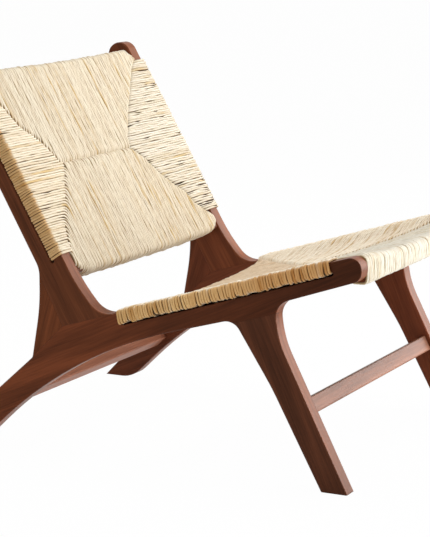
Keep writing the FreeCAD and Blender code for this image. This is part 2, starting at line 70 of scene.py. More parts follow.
# place, size and power of each lamp, the point they are aimed at, and the stage
LAMPS = {
    "key": ((0.9, -3.5, 1.1), 2.0, 93),
    "side": ((3.0, -1.5, 0.9), 2.2, 70),
    "fill": ((-3.2, -1.0, 1.6), 2.6, 8),
    "top": ((0.4, 0.0, 3.4), 2.4, 50),
}
LAMP_TARGET = (0, 0, 0.4)
WORLD_STRENGTH = 0.4
FLOOR_COLOUR = (0.86, 0.86, 0.86, 1)
FLOOR_REACH = 60.0
FLOOR_WHITE = 0.98

# side frames
CHAIR_FRONT = cad_box[0][1]
CHAIR_REAR = cad_box[1][1]
POST_ANGLE = 59.75
SEAT_ANGLE = -16.86
BOARD_INSIDE = 0.283
BOARD_OUTSIDE = 0.315

# strands: section, spacing of the rings along them, and corners on their paths
SECTION_SIDES = 10
STRAND_WIDENING = 1.05
STRAND_FLATNESS = 1.08
TIP_LENGTH = 0.001
RING_SPACING = 0.008
CORNER_STEP = 24
CORNER_SHARE = 0.48
SHORTEST_PIECE = 1e-5
END_DIVE = 0.0045
END_OVERLAP = 0.001
END_SLOPE = 0.006
TUCK = 0.007

# unevenness of one strand
CYCLE = 6.28
WAVE_LENGTHS = (0.05, 0.12)
SWELL_LENGTHS = (0.03, 0.08)
DRIFT = 0.0003
LIFTS = (-0.0004, 0.0003)
SWELL_LIFT = 0.0003
SWELL_SHARE = 0.07
SIZE_SHARES = (-0.10, 0.05)
PINCH_LENGTH = 0.019
PINCH_REACHES = (0.4, 1.5)
PINCH_SHARE = 0.62
PINCH_DRIFT = 0.33

# unevenness between strands laid side by side
WIDTH_SHARE = 0.08
GAP_CHANCE = 0.15
GAP_SHARE = 0.16
LEAN_STEPS = (0.1, 1.0)
LEAN_NOISE = 0.3
EDGE_UNEVEN = 0.0009
SEAM_UNEVEN = 0.001

# CAD node, rush, pitch, waviness and slits per metre of strand of each field
BACK_PITCH = 0.0047
SEAT_PITCH = 0.0051
FIELDS = {
    "back_top_field": ("back_weave", "back_rush", BACK_PITCH, 0.0006, 0.25),
    "back_bottom_field": ("back_weave", "back_rush", BACK_PITCH, 0.0006, 0.25),
    "back_left_field": ("back_weave", "back_rush", BACK_PITCH, 0.0003, 0.5),
    # the right field takes the darker copy of the back's rush as painted shade
    "back_right_field": ("back_weave", "shaded_rush", BACK_PITCH, 0.0004, 2.3),
    "seat_front_field": ("seat_weave", "pale_rush", SEAT_PITCH, 0.0004, 1.0),
    "seat_rear_field": ("seat_weave", "rear_rush", SEAT_PITCH, 0.0004, 1.0),
    "seat_left_field": ("seat_weave", "seat_rush", SEAT_PITCH, 0.0004, 1.2),
    "seat_right_field": ("seat_weave", "seat_rush", SEAT_PITCH, 0.0003, 0.8),
}

# strands wound round the bars of the side frames
WRAP_OUT = 0.318
WRAP_FACE = 0.003
WRAP_RETURN = 0.279
WRAP_RADIUS = 0.0055
POST_WRAP_REAR = -0.02075
POST_LEAN = 0.0008
SEAT_WRAP_UNDER = -0.01825
SEAT_LEAN = 0.0013

# back panel; s starts at the lower end of the posts' slots
BACK_RAIL_TO_WRAP = 0.0235
BACK_RAIL_TO_FACE = 0.017
BACK_WRAP_START = 0.004
BACK_WRAP_LENGTH = 0.351
BACK_FACE = 0.001
BACK_REAR_AT_RAIL = -0.035
BACK_REAR_AT_MITRE = -0.027
BACK_CREST = 0.3723
BACK_CREST_RISE = 0.0030
BACK_CREST_TILT = 0.012
BACK_SOLE = -0.0397
BACK_SOLE_RISE = 0.0022
BACK_RAIL_RADIUS = 0.009
CREST_CORNER_DROP = 0.030
CREST_CORNER_REACH = 0.025
SOLE_CORNER_DROP = 0.016
SOLE_CORNER_REACH = 0.037
BACK_APEX = 0.108
BACK_MIDDLE = 0.175
BACK_SEAM = 0.172
BEND_RADIUS = 0.013
# factor on the slits of the strands round the posts, by s
POST_SLITS = [(0.0, 5.0), (0.07, 4.5), (0.10, 1.0), (0.20, 0.4), (0.24, 1.6), (0.33, 1.6)]
# lines (x, s) along which the fields of the back meet in front
LEFT_UPPER = [(-0.172, 0.172), (-0.172, 0.179), (-0.198, 0.219), (-0.244, 0.257), (-0.268, 0.303),
              (-0.283, 0.345)]
RIGHT_UPPER = [(0.094, 0.169), (0.106, 0.192), (0.158, 0.246), (0.219, 0.302), (0.263, 0.341),
               (0.283, 0.352)]
LEFT_LOWER = [(-0.161, 0.167), (-0.193, 0.128), (-0.222, 0.091), (-0.255, 0.057), (-0.273, 0.021),
              (-0.283, 0.0)]
RIGHT_LOWER = [(0.094, 0.169), (0.101, 0.168), (0.124, 0.151), (0.152, 0.113), (0.183, 0.084),
               (0.219, 0.057), (0.232, 0.030), (0.261, 0.007), (0.283, -0.004)]

# top rail of the back
TOP_RAIL_FOOT = 0.353
TOP_RAIL_HEAD = 0.3693
TOP_RAIL_FRONT = -0.002
TOP_RAIL_REAR = -0.032
TOP_RAIL_ROUND = 0.004
TENON_END = 0.303
TENON_SHARE = 0.6

# seat panel; s starts at the tip of the seat rail
SEAT_RAIL_REACH = 0.485
SEAT_RAIL_DROP = 0.031
SEAT_WRAP_START = 0.061
SEAT_WRAP_LENGTH = 0.430
SEAT_WRAP_END = SEAT_WRAP_START + SEAT_WRAP_LENGTH
SEAT_SEAM = 0.2735
SEAT_UNDER = -0.034
SEAT_FACE = 0.003
SEAT_FAR_RISE = 0.0024
SEAT_FACE_UNEVEN = (-0.0006, 0.0009)
SEAT_RAGGED = 0.0016
SEAT_STEP = 0.04
SEAT_BEND_RADIUS = 0.3
SIDE_STEP = 0.03
SIDE_BEND_RADIUS = 0.2
FIELD_HALF = 0.2842
# depth of the seat's dip and steepness of its sides, by s
SEAT_DIP = [(0.0, 0.0150), (0.060, 0.0152), (0.140, 0.0215), (0.225, 0.0250), (0.330, 0.0235),
            (0.470, 0.0180)]
SEAT_STEEPNESS = [(0.0, 2.5), (0.10, 6.0), (0.25, 4.5), (0.47, 3.0)]

# rush over the seat's front and rear rails
RAIL_RADIUS = 0.008
FRONT_FACE = 0.0033
FRONT_BACK = 0.0267
FRONT_RUN_END = 0.045
FRONT_CREST_MIDDLE = 0.4023
FRONT_CREST_RISE = 0.0171
FRONT_CREST_RADIUS = 0.014
FRONT_SOLE = 0.3653
FRONT_CORNER_DROP = 0.0040
FRONT_CORNER_REACH = 0.020
REAR_FACE = 0.498
REAR_INSIDE = 0.472
REAR_RUN_END = 0.465
REAR_RUN_LIMIT = 0.455
REAR_END_LIMIT = 0.478
REAR_UNDER_LIMIT = 0.462
REAR_CREST_SIDE = -0.0067
REAR_CREST_MIDDLE = -0.0146
REAR_SOLE = -0.048

# packing between the layers of strands and below the wraps
PAD_HALF = 0.282
PAD_UNEVEN = 0.0006
PAD_UPPER_WAVES = (90, 70)
PAD_LOWER_WAVES = (80, 60)
PAD_COLUMNS = 49
BACK_PAD_REACH = (-0.022, 0.356)
BACK_PAD_ROWS = 33
BACK_PAD_FACE = -0.003
BACK_PAD_REAR = -0.0235
SEAT_PAD_REACH = (0.035, 0.468)
SEAT_PAD_ROWS = 37
SEAT_PAD_BELOW = 0.0042
SEAT_PAD_ABOVE = 0.0035
SLEEVE_IN = 0.284
SLEEVE_OUT = 0.3171
SLEEVE_END = 0.002
SLEEVE_ROWS = 41
SLEEVE_COLUMNS = 5
SLEEVE_UNDER_STRANDS = 0.0012

# dark, middle and light tone of each rush, and how far along the streaks each stands
RUSHES = {
    "back_rush": ((0.61, 0.44, 0.21), (0.68, 0.575, 0.42), (0.75, 0.67, 0.53)),
    # a darker copy of back_rush: painted shade on the back's right field
    "shaded_rush": ((0.56, 0.42, 0.22), (0.63, 0.55, 0.415), (0.70, 0.64, 0.53)),
    "seat_rush": ((0.65, 0.46, 0.24), (0.815, 0.69, 0.52), (0.885, 0.79, 0.64)),
    "rear_rush": ((0.59, 0.37, 0.18), (0.73, 0.56, 0.38), (0.79, 0.64, 0.47)),
    "pale_rush": ((0.72, 0.60, 0.41), (0.77, 0.70, 0.56), (0.82, 0.77, 0.66)),
}
RUSH_STOPS = (0.25, 0.35, 0.60)
# scale and detail
STREAK_NOISE = (1.0, 3.0)
PLY_NOISE = (1.0, 2.0)
# factors of the place along a strand, the strand's shade and the place around it
STREAK_SCALES = (14.0, 97.0, 0.6)
STREAK_SHARE = 0.6
SHADE_SHARE = 0.4
PLY_AROUND = 2.0
PLY_TURNS = 55.0
PLY_SHIFT = 41.0
# factors of the ply's turns, the place along a strand and the strand's shade
FIBRE_SCALES = (9.0, 60.0, 50.0)
FIBRE_HEIGHT = 0.5
# painted shade in the grooves between the twisted plies
GROOVE_SHADE_TINTS = [(0.0, (0.72, 0.64, 0.52)), (0.3, (1.0, 1.0, 1.0))]
GROOVE_SHADE_SHARE = 0.3
# painted shade in the crevices beside each strand
CREVICE_SHADE_TINTS = [(0.13, (1.0, 1.0, 1.0)), (0.21, (0.66, 0.52, 0.34))]
# painted shade on the outer sides of the wraps, darker and more golden, from the front of the chair to
# the back
OUTER_SHADE_TINTS = [(0.20, (0.84, 0.53, 0.25)), (0.40, (1.0, 0.74, 0.40)), (0.57, (0.90, 0.64, 0.33)),
               (0.64, (0.95, 0.68, 0.39))]
OUTER_SHADE_START = BOARD_OUTSIDE - 0.003
OUTER_SHADE_FULL = BOARD_OUTSIDE + 0.0042
OUTER_SHADE_UNEVEN = 0.013
RUSH_BUMP = (0.3, 0.0005)
RUSH_ROUGHNESS = 0.65
RUSH_SPECULAR = 0.25
# the packing is a real part; its near-black colour is painted shade of the hollows seen between the
# strands
PACKING_SHADE_TONES = [(0.3, (0.026, 0.011, 0.004)), (0.7, (0.08, 0.038, 0.013))]
PACKING_NOISE = (240.0, 3.0)
PACKING_BUMP = (0.5, 0.001)
PACKING_ROUGHNESS = 0.9

# grain angle, place of the grain's pattern, and the middle tone on the right and the left frame
BOARDS = {
    "back_post": (POST_ANGLE, (0.0, 0.0, 0.0), (0.140, 0.042, 0.0165), (0.155, 0.044, 0.0180)),
    "gusset": (-74.0, (0.3, 1.1, 0.4), (0.163, 0.046, 0.0163), (0.148, 0.041, 0.0180)),
    "lower_rail": (-24.0, (0.1, 2.3, 0.9), (0.155, 0.042, 0.0160), (0.150, 0.042, 0.0185)),
    "front_leg": (66.0, (0.7, 3.1, 0.2), (0.097, 0.031, 0.0143), (0.155, 0.041, 0.0180)),
}
LEFT_SHIFT = 5.0
STRETCHERS = {
    "front_stretcher": (0.23, 0.103, 0.064),
    "rear_stretcher": (0.28, 0.107, 0.060),
}
RAILS = ("back_top_rail", "back_bottom_rail", "seat_front_rail", "seat_rear_rail")
RAIL_WOOD = (0.12, 0.034, 0.012)
DOWEL_WOOD = (0.36, 0.22, 0.13)
# painted highlight: lighter tone of the side boards' narrow edge faces, and how far the normal's x
# decides it
EDGE_HIGHLIGHT_WOOD = (0.200, 0.066, 0.029)
EDGE_HIGHLIGHT_FACING = (0.6, 0.4)
DARK_GRAIN = 0.6
LIGHT_GRAIN = 1.45
FIGURE_STOPS = (0.34, 0.5, 0.66)
# scale, detail, stretch along the grain and distortion
BAND_NOISE = (38.0, 3.0, 0.06, 0.6)
FIBRE_NOISE = (420.0, 2.0, 0.035, 0.0)
BAND_SHARE = 0.65
FIBRE_SHARE = 0.35
# painted shade on the lower rails, darker towards the front tip: tone from the front of the chair to the
# back
RAIL_PAINTED_SHADE = [(0.0, 0.36), (0.14, 0.44), (0.28, 0.60), (0.45, 0.66), (0.55, 1.0)]
WOOD_BUMP = (0.15, 0.0006)
WOOD_EDGE_RADIUS = 0.0025
WOOD_EDGE_SAMPLES = 4
WOOD_ROUGHNESS = 0.27
WOOD_ROUGHNESS_SPREAD = 0.2
WOOD_SPECULAR = 0.10
WOOD_SPECULAR_TINT = (1.0, 0.78, 0.66, 1)

rng = np.random.default_rng(11)


# Panels' planes.


def node_middle(name):
    """Middle of a CAD node in the side view."""
    low, high = (Vector(corner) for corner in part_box(name))
    middle = (low + high) / 2
    return np.array([middle.y, middle.z])


class Plane:
    """Turns (x, s, n) of a panel into places in the chair."""

    def __init__(self, angle, start, along, across):
        turn = math.radians(angle)
        self.along = np.array([math.cos(turn), math.sin(turn)])
        self.square = np.array([-self.along[1], self.along[0]])
        self.origin = start + along * self.along + across * self.square

    def place(self, points):
        points = np.asarray(points, float)
        side = self.origin + points[:, 1:2] * self.along + points[:, 2:3] * self.square
        return np.column_stack([points[:, 0], side])

    def local(self, y, z):
        offset = np.array([y, z]) - self.origin
        return float(offset @ self.along), float(offset @ self.square)

    def normal(self, sign=1):
        return sign * np.array([0.0, self.square[0], self.square[1]])


BACK = Plane(POST_ANGLE, node_middle("back_bottom_rail"), BACK_RAIL_TO_WRAP, BACK_RAIL_TO_FACE)
SEAT = Plane(SEAT_ANGLE, node_middle("seat_rear_rail"), -SEAT_RAIL_REACH, SEAT_RAIL_DROP)


# Pieces.


def add_piece(name, mesh, node, material, smooth=True):
    """A piece of the scene that stands for a CAD node."""
    mesh.polygons.foreach_set("use_smooth", [smooth] * len(mesh.polygons))
    mesh.materials.append(material)
    piece = bpy.data.objects.new(name, mesh)
    bpy.context.scene.collection.objects.link(piece)
    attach(piece, "root")
    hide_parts(node)


def new_mesh(name, points, faces):
    mesh = bpy.data.meshes.new(name)
    mesh.from_pydata(points.tolist(), [], faces)
    return mesh


# Strands.


def rounded(corners, radii):
    """Points along a run of straight pieces with rounded corners, close enough for a smooth tube."""
    corners = [np.array(corner, float) for corner in corners]
    knots = [corners[0]]
    for before, corner, after, radius in zip(corners, corners[1:], corners[2:], radii):
        back = before - corner
        ahead = after - corner
        back_length = np.linalg.norm(back)
        ahead_length = np.linalg.norm(ahead)
        cosine = float(back @ ahead) / (back_length * ahead_length)
        turn = math.pi - math.acos(max(-1.0, min(1.0, cosine)))
        cut = min(radius * math.tan(turn / 2), CORNER_SHARE * back_length, CORNER_SHARE * ahead_length)
        pieces = max(1, math.ceil(turn / math.radians(CORNER_STEP)))
        start = corner + back * (cut / back_length)
        end = corner + ahead * (cut / ahead_length)
        for share in np.linspace(0, 1, pieces + 1):
            knots.append((1 - share) ** 2 * start + 2 * share * (1 - share) * corner + share ** 2 * end)
    knots.append(corners[-1])
    path = [knots[0]]
    for first, last in zip(knots, knots[1:]):
        length = np.linalg.norm(last - first)
        if length < SHORTEST_PIECE:
            continue
        pieces = math.ceil(length / RING_SPACING)
        for share in np.linspace(0, 1, pieces + 1)[1:]:
            path.append(first + (last - first) * share)
    return np.array(path)


def transported(tangents, normal):
    """The normal carried along a path without twisting."""
    normals = []
    carried = Vector(normal)
    last = Vector(tangents[0])
    for tangent in tangents:
        tangent = Vector(tangent)
        carried.rotate(last.rotation_difference(tangent))
        carried -= tangent * carried.dot(tangent)
        carried.normalize()
        normals.append(carried.copy())
        last = tangent
    return np.array(normals)


class Weave:
    """Gathers the strands of one field into one mesh."""

    def __init__(self, name):
        self.name = name
        self.node, self.rush, self.pitch, self.waviness, self.slits = FIELDS[name]
        self.points = []
        self.faces = []
        self.lay = []
        self.count = 0

    def strand(self, path, normal, slit_factor=1.0):
        """One closed tube of rush along a path."""
        tangents = np.gradient(path, axis=0)
        tangents /= np.linalg.norm(tangents, axis=1)[:, None]
        normals = transported(tangents, normal)
        across = np.cross(tangents, normals)
        steps = np.linalg.norm(np.diff(path, axis=0), axis=1)
        length = np.concatenate([[0.0], np.cumsum(steps)])
        drift, lift, size, pinch = self.unevenness(length, slit_factor)
        centre = path + across * drift[:, None] + normals * lift[:, None]
        turn = np.arange(SECTION_SIDES) * (2 * math.pi / SECTION_SIDES) - math.pi / 2
        across = across * (1 - pinch)[:, None]
        side = across[:, None, :] * (np.cos(turn) * self.pitch * STRAND_WIDENING / 2)[None, :, None]
        up = normals[:, None, :] * (np.sin(turn) * self.pitch * STRAND_FLATNESS / 2)[None, :, None]
        skin = centre[:, None, :] + (side + up) * size[:, None, None]
        tips = centre[[0, -1]] + tangents[[0, -1]] * np.array([[-TIP_LENGTH], [TIP_LENGTH]])
        self.points.append(np.vstack([skin.reshape(-1, 3), tips]))
        self.add_lay(length)
        self.add_faces(len(path))

    def unevenness(self, length, slit_factor):
        """Shifts aside and up, size, and pinches that open slits beside a strand, all along it."""
        wave = rng.uniform(*WAVE_LENGTHS)
        swell = rng.uniform(*SWELL_LENGTHS)
        phase = rng.uniform(0, CYCLE, 3)
        drift = rng.uniform(-DRIFT, DRIFT) + self.waviness * np.sin(length * CYCLE / wave + phase[0])
        lift = rng.uniform(*LIFTS) + SWELL_LIFT * np.sin(length * CYCLE / swell + phase[1])
        size = 1 + SWELL_SHARE * np.sin(length * CYCLE / swell + phase[2]) + rng.uniform(*SIZE_SHARES)
        pinch = np.zeros(len(length))
        for place in rng.uniform(0, length[-1], rng.poisson(self.slits * slit_factor * length[-1])):
            reach = PINCH_LENGTH * rng.uniform(*PINCH_REACHES)
            pinch = np.maximum(pinch, np.cos(np.clip((length - place) / reach, -1, 1) * math.pi / 2))
        pinch *= PINCH_SHARE
        drift = drift + pinch * self.pitch * PINCH_DRIFT
        return drift, lift, size, pinch

    def add_lay(self, length):
        """What the material reads at each point: place around, place along, and the strand's shade."""
        shade = rng.uniform(0, 1)
        around = np.tile(np.arange(SECTION_SIDES) / SECTION_SIDES, len(length))
        run = np.repeat(length, SECTION_SIDES)
        lay = np.column_stack([around, run, np.full(len(run), shade)])
        self.lay.append(np.vstack([lay, [[0.5, 0.0, shade], [0.5, length[-1], shade]]]))

    def add_faces(self, rings):
        base = self.count
        first_tip = base + rings * SECTION_SIDES
        end = first_tip - SECTION_SIDES
        neighbours = [(corner, (corner + 1) % SECTION_SIDES) for corner in range(SECTION_SIDES)]
        for low in range(base, end, SECTION_SIDES):
            high = low + SECTION_SIDES
            for corner, following in neighbours:
                self.faces.append((low + following, low + corner, high + corner, high + following))
        for corner, following in neighbours:
            self.faces.append((first_tip, base + corner, base + following))
            self.faces.append((first_tip + 1, end + following, end + corner))
        self.count = first_tip + 2

    def build(self, rushes):
        mesh = new_mesh(self.name, np.vstack(self.points), self.faces)
        lay = mesh.attributes.new("lay", "FLOAT_VECTOR", "POINT")
        lay.data.foreach_set("vector", np.vstack(self.lay).astype(np.float32).ravel())
        add_piece(self.name, mesh, self.node, rushes[self.rush])


def spread(first, last, pitch):
    """Places of strands laid side by side between two limits, with a gap here and there."""
    count = round((last - first) / pitch)
    widths = 1 + rng.uniform(-WIDTH_SHARE, WIDTH_SHARE, count)
    widths = widths + np.where(rng.random(count) < GAP_CHANCE, GAP_SHARE, 0)
    ends = np.concatenate([[0], np.cumsum(widths)])
    return first + (last - first) * (ends[:-1] + ends[1:]) / (2 * ends[-1])


def leans(count, reach):
    """Sideways lean of strands laid side by side, alike in neighbours with a jump now and then."""
    phase = np.cumsum(rng.uniform(*LEAN_STEPS, count))
    return reach * np.sin(phase) + rng.normal(0, LEAN_NOISE * reach, count)


def read_off(table, value):
    """Reads a value off a table of pairs in rising order."""
    return float(np.interp(value, [row[0] for row in table], [row[1] for row in table]))


def along_line(line, value, given, wanted):
    """Reads one coordinate of a line from the other."""
    return read_off(sorted((point[given], point[wanted]) for point in line), value)


# Back.


def back_edge(x, upper):
    """How far the rush goes over the top rail or under the bottom one, less near the posts."""
    bow = (x / BOARD_INSIDE) ** 2
    if upper:
        near_post = max(0.0, (abs(x) - BOARD_INSIDE + CREST_CORNER_REACH) / CREST_CORNER_REACH)
        rise = BACK_CREST_RISE * bow + BACK_CREST_TILT * max(0.0, x)
        return BACK_CREST + rise - CREST_CORNER_DROP * near_post ** 2
    near_post = max(0.0, (abs(x) - BOARD_INSIDE + SOLE_CORNER_REACH) / SOLE_CORNER_REACH)
    return BACK_SOLE + BACK_SOLE_RISE * bow + SOLE_CORNER_DROP * near_post ** 2


def back_front_end(x, upper):
    left, right = (LEFT_UPPER, RIGHT_UPPER) if upper else (LEFT_LOWER, RIGHT_LOWER)
    if x < left[0][0]:
        return along_line(left, x, 0, 1)
    if x > right[0][0]:
        return along_line(right, x, 0, 1)
    return BACK_SEAM + rng.uniform(-SEAM_UNEVEN, SEAM_UNEVEN)


def back_rear_end(x, upper):
    if abs(x) < BACK_APEX:
        return BACK_MIDDLE
    rise = BOARD_INSIDE - abs(x)
    return BACK_WRAP_LENGTH - rise if upper else rise


def back_turn(x, upper):
    """Corners of a strand where it passes over the top rail or under the bottom one."""
    edge = back_edge(x, upper) + rng.uniform(-EDGE_UNEVEN, EDGE_UNEVEN)
    way = 1 if upper else -1
    rear = back_rear_end(x, upper)
    return [(x, edge, BACK_FACE), (x, edge, BACK_REAR_AT_RAIL),
            (x, rear + way * END_SLOPE, BACK_REAR_AT_MITRE),
            (x, rear - way * END_OVERLAP, BACK_REAR_AT_MITRE + END_DIVE)]


def back_vertical(field, x, upper):
    way = 1 if upper else -1
    end = back_front_end(x, upper)
    corners = [(x, end - way * END_OVERLAP, BACK_FACE - END_DIVE), (x, end + way * END_SLOPE, BACK_FACE)]
    corners += back_turn(x, upper)
    radii = [TUCK, BACK_RAIL_RADIUS, BACK_RAIL_RADIUS, TUCK, TUCK]
    field.strand(BACK.place(rounded(corners, radii)), BACK.normal())


def back_round_post(side, s, lean):
    """Corners of a strand round a post, from the front face to its end on the rear face."""
    rear = BOARD_INSIDE - min(s, BACK_WRAP_LENGTH - s)
    rear = min(max(rear, BACK_APEX), WRAP_RETURN - END_SLOPE)
    turned = s + lean
    return [(side * BOARD_INSIDE, s, WRAP_FACE), (side * WRAP_OUT, s, WRAP_FACE),
            (side * WRAP_OUT, turned, POST_WRAP_REAR), (side * WRAP_RETURN, turned, POST_WRAP_REAR),
            (side * (rear + END_SLOPE), turned, BACK_REAR_AT_MITRE),
            (side * (rear - END_OVERLAP), turned, BACK_REAR_AT_MITRE + END_DIVE)]


def back_mitre_x(side, s):
    left, right = (LEFT_UPPER, RIGHT_UPPER) if s > BACK_SEAM else (LEFT_LOWER, RIGHT_LOWER)
    return abs(along_line(left if side < 0 else right, s, 1, 0))


def back_horizontal(field, side, s, lean):
    end = min(back_mitre_x(side, s), BOARD_INSIDE - 2 * END_SLOPE)
    corners = [(side * (end - END_OVERLAP), s, BACK_FACE - END_DIVE),
               (side * (end + END_SLOPE), s, BACK_FACE)]
    corners += back_round_post(side, s, lean)
    radii = [TUCK, TUCK, WRAP_RADIUS, WRAP_RADIUS, WRAP_RADIUS, TUCK]
    field.strand(BACK.place(rounded(corners, radii)), BACK.normal(), read_off(POST_SLITS, s))


def back_bent(field, s, x, lean):
    """A strand that comes round the near post, turns down in the lower field and passes the rail."""
    corners = back_round_post(-1, s, lean)[::-1] + [(x, s, BACK_FACE)] + back_turn(x, False)
    radii = [TUCK, WRAP_RADIUS, WRAP_RADIUS, WRAP_RADIUS, TUCK, BEND_RADIUS, BACK_RAIL_RADIUS,
             BACK_RAIL_RADIUS, TUCK]
    field.strand(BACK.place(rounded(corners, radii)), BACK.normal(-1))


def weave_back(rushes):
    top = Weave("back_top_field")
    bottom = Weave("back_bottom_field")
    left = Weave("back_left_field")
    right = Weave("back_right_field")
    for x in spread(-BOARD_INSIDE, BOARD_INSIDE, BACK_PITCH):
        back_vertical(top, x, True)
    for x in spread(LEFT_LOWER[0][0], BOARD_INSIDE, BACK_PITCH):
        back_vertical(bottom, x, False)
    last_x = LEFT_LOWER[0][0] + BACK_PITCH / 2
    stations = spread(BACK_WRAP_START, BACK_WRAP_LENGTH, BACK_PITCH)[::-1]
    for s, lean in zip(stations, leans(len(stations), POST_LEAN)):
        back_horizontal(right, 1, s, lean)
        x = -back_mitre_x(-1, s)
        if s < LEFT_LOWER[0][1] and last_x - x > BACK_PITCH:
            last_x -= BACK_PITCH
            back_bent(left, s, last_x, lean)
        else:
            back_horizontal(left, -1, s, lean)
    while last_x - BACK_PITCH > -BOARD_INSIDE:
        last_x -= BACK_PITCH
        back_vertical(bottom, last_x, False)
    for field in (top, bottom, left, right):
        field.build(rushes)


def top_rail(material):
    """The back's top rail: a rounded bar with a stub tenon at each end."""
    middle = np.array([(TOP_RAIL_FOOT + TOP_RAIL_HEAD) / 2, (TOP_RAIL_FRONT + TOP_RAIL_REAR) / 2])
    half = np.array([(TOP_RAIL_HEAD - TOP_RAIL_FOOT) / 2, (TOP_RAIL_FRONT - TOP_RAIL_REAR) / 2])
    outline = []
    for corner, way in enumerate(((1, 1), (-1, 1), (-1, -1), (1, -1))):
        centre = (half - TOP_RAIL_ROUND) * way
        for share in (0.0, 0.5, 1.0):
            angle = math.radians(90 * (corner + share))
            outline.append(centre + TOP_RAIL_ROUND * np.array([math.cos(angle), math.sin(angle)]))
    outline = np.array(outline)
    stations = ((-TENON_END, TENON_SHARE), (-BOARD_INSIDE, TENON_SHARE), (-BOARD_INSIDE, 1.0),
                (BOARD_INSIDE, 1.0), (BOARD_INSIDE, TENON_SHARE), (TENON_END, TENON_SHARE))
    sides = len(outline)
    rings = [np.column_stack([np.full(sides, x), middle + outline * size]) for x, size in stations]
    last = (len(rings) - 1) * sides
    faces = [tuple(range(sides))[::-1], tuple(range(last, last + sides))]
    for low in range(0, last, sides):
        high = low + sides
        for corner in range(sides):
            following = (corner + 1) % sides
            faces.append((low + corner, low + following, high + following, high + corner))
    mesh = new_mesh("top_rail", BACK.place(np.vstack(rings)), faces)
    add_piece("top_rail", mesh, "back_top_rail", material, smooth=False)


# Seat.


def seat_face(x, s):
    """Height of the seat's upper strands: level at the side frames, sagging between them."""
    level = min(1.0, abs(x / BOARD_INSIDE)) ** read_off(SEAT_STEEPNESS, s)
    return SEAT_FACE - read_off(SEAT_DIP, s) * (1 - level)


def seat_run(x, first, last):
    """Points of the seat's surface along one strand from front to back or back to front."""
    count = math.ceil(abs(last - first) / SEAT_STEP) + 1
    return [(x, s, seat_face(x, s)) for s in np.linspace(first, last, count)]


def seat_front_strand(field, x):
    end = min(SEAT_SEAM, SEAT_WRAP_START + BOARD_INSIDE - abs(x))
    crest_height = FRONT_CREST_MIDDLE + FRONT_CREST_RISE * (x / BOARD_INSIDE) ** 2
    near_board = max(0.0, (abs(x) - BOARD_INSIDE + FRONT_CORNER_REACH) / FRONT_CORNER_REACH)
    drop = FRONT_CORNER_DROP * near_board ** 2
    crest = SEAT.local(CHAIR_FRONT + FRONT_FACE, crest_height - drop)
    nose = SEAT.local(CHAIR_FRONT + FRONT_FACE, FRONT_SOLE)
    heel = SEAT.local(CHAIR_FRONT + FRONT_BACK, FRONT_SOLE)
    face = seat_face(x, end)
    run = [(x, s, n - drop) for x, s, n in seat_run(x, end, FRONT_RUN_END)[1:]]
    corners = [(x, end + END_OVERLAP, face - END_DIVE), (x, end - END_SLOPE, face - drop)] + run
    corners += [(x, *crest), (x, *nose), (x, *heel), (x, end - END_SLOPE, SEAT_UNDER),
                (x, end + END_OVERLAP, SEAT_UNDER + END_DIVE)]
    radii = [TUCK] + [SEAT_BEND_RADIUS] * len(run)
    radii += [FRONT_CREST_RADIUS, RAIL_RADIUS, RAIL_RADIUS, TUCK]
    field.strand(SEAT.place(rounded(corners, radii)), SEAT.normal())


def seat_rear_strand(field, x):
    end = max(SEAT_SEAM, SEAT_WRAP_END - BOARD_INSIDE + abs(x))
    end = min(end, REAR_END_LIMIT)
    under = min(end, REAR_UNDER_LIMIT)
    crest = REAR_CREST_MIDDLE + (REAR_CREST_SIDE - REAR_CREST_MIDDLE) * (x / BOARD_INSIDE) ** 2
    face = seat_face(x, end)
    run = seat_run(x, end, REAR_RUN_END)[1:] if end < REAR_RUN_LIMIT else []
    corners = [(x, end - END_OVERLAP, face - END_DIVE), (x, end + END_SLOPE, face)] + run
    corners += [(x, REAR_FACE, crest), (x, REAR_FACE, REAR_SOLE), (x, REAR_INSIDE, REAR_SOLE),
                (x, under + END_SLOPE, SEAT_UNDER), (x, under - END_OVERLAP, SEAT_UNDER + END_DIVE)]
    radii = [TUCK] + [SEAT_BEND_RADIUS] * len(run) + [RAIL_RADIUS, RAIL_RADIUS, RAIL_RADIUS, TUCK]
    field.strand(SEAT.place(rounded(corners, radii)), SEAT.normal())


def seat_side_strand(field, side, s, lean):
    end = BOARD_INSIDE - min(s - SEAT_WRAP_START, SEAT_WRAP_END - s)
    end = min(end, BOARD_INSIDE - 2 * END_SLOPE)
    count = math.ceil((BOARD_INSIDE - end) / SIDE_STEP) + 1
    rise = SEAT_FAR_RISE if side > 0 else 0.0
    face = WRAP_FACE + rise + rng.uniform(*SEAT_FACE_UNEVEN)
    under = SEAT_WRAP_UNDER + rng.uniform(-SEAT_RAGGED, SEAT_RAGGED)
    low = s + lean
    xs = np.linspace(end + END_SLOPE, BOARD_INSIDE, count)
    corners = [(side * (end - END_OVERLAP), s, seat_face(end, s) - END_DIVE)]
    corners += [(side * x, s, seat_face(x, s) + rise) for x in xs]
    corners += [(side * WRAP_OUT, s, face), (side * WRAP_OUT, low, under),
                (side * WRAP_RETURN, low, under), (side * (end + END_SLOPE), low, SEAT_UNDER),
                (side * (end - END_OVERLAP), low, SEAT_UNDER + END_DIVE)]
    radii = [TUCK] + [SIDE_BEND_RADIUS] * (count - 1) + [WRAP_RADIUS, WRAP_RADIUS, WRAP_RADIUS, TUCK]
    field.strand(SEAT.place(rounded(corners, radii)), SEAT.normal())


def weave_seat(rushes):
    front = Weave("seat_front_field")
    rear = Weave("seat_rear_field")
    left = Weave("seat_left_field")
    right = Weave("seat_right_field")
    for x in spread(-FIELD_HALF, FIELD_HALF, SEAT_PITCH):
        seat_front_strand(front, x)
        seat_rear_strand(rear, x)
    for field, side in ((left, -1), (right, 1)):
        stations = spread(SEAT_WRAP_START, SEAT_WRAP_END, SEAT_PITCH)
        for s, lean in zip(stations, leans(len(stations), SEAT_LEAN)):
            seat_side_strand(field, side, s, lean)
    for field in (front, rear, left, right):
        field.build(rushes)


# Packing.


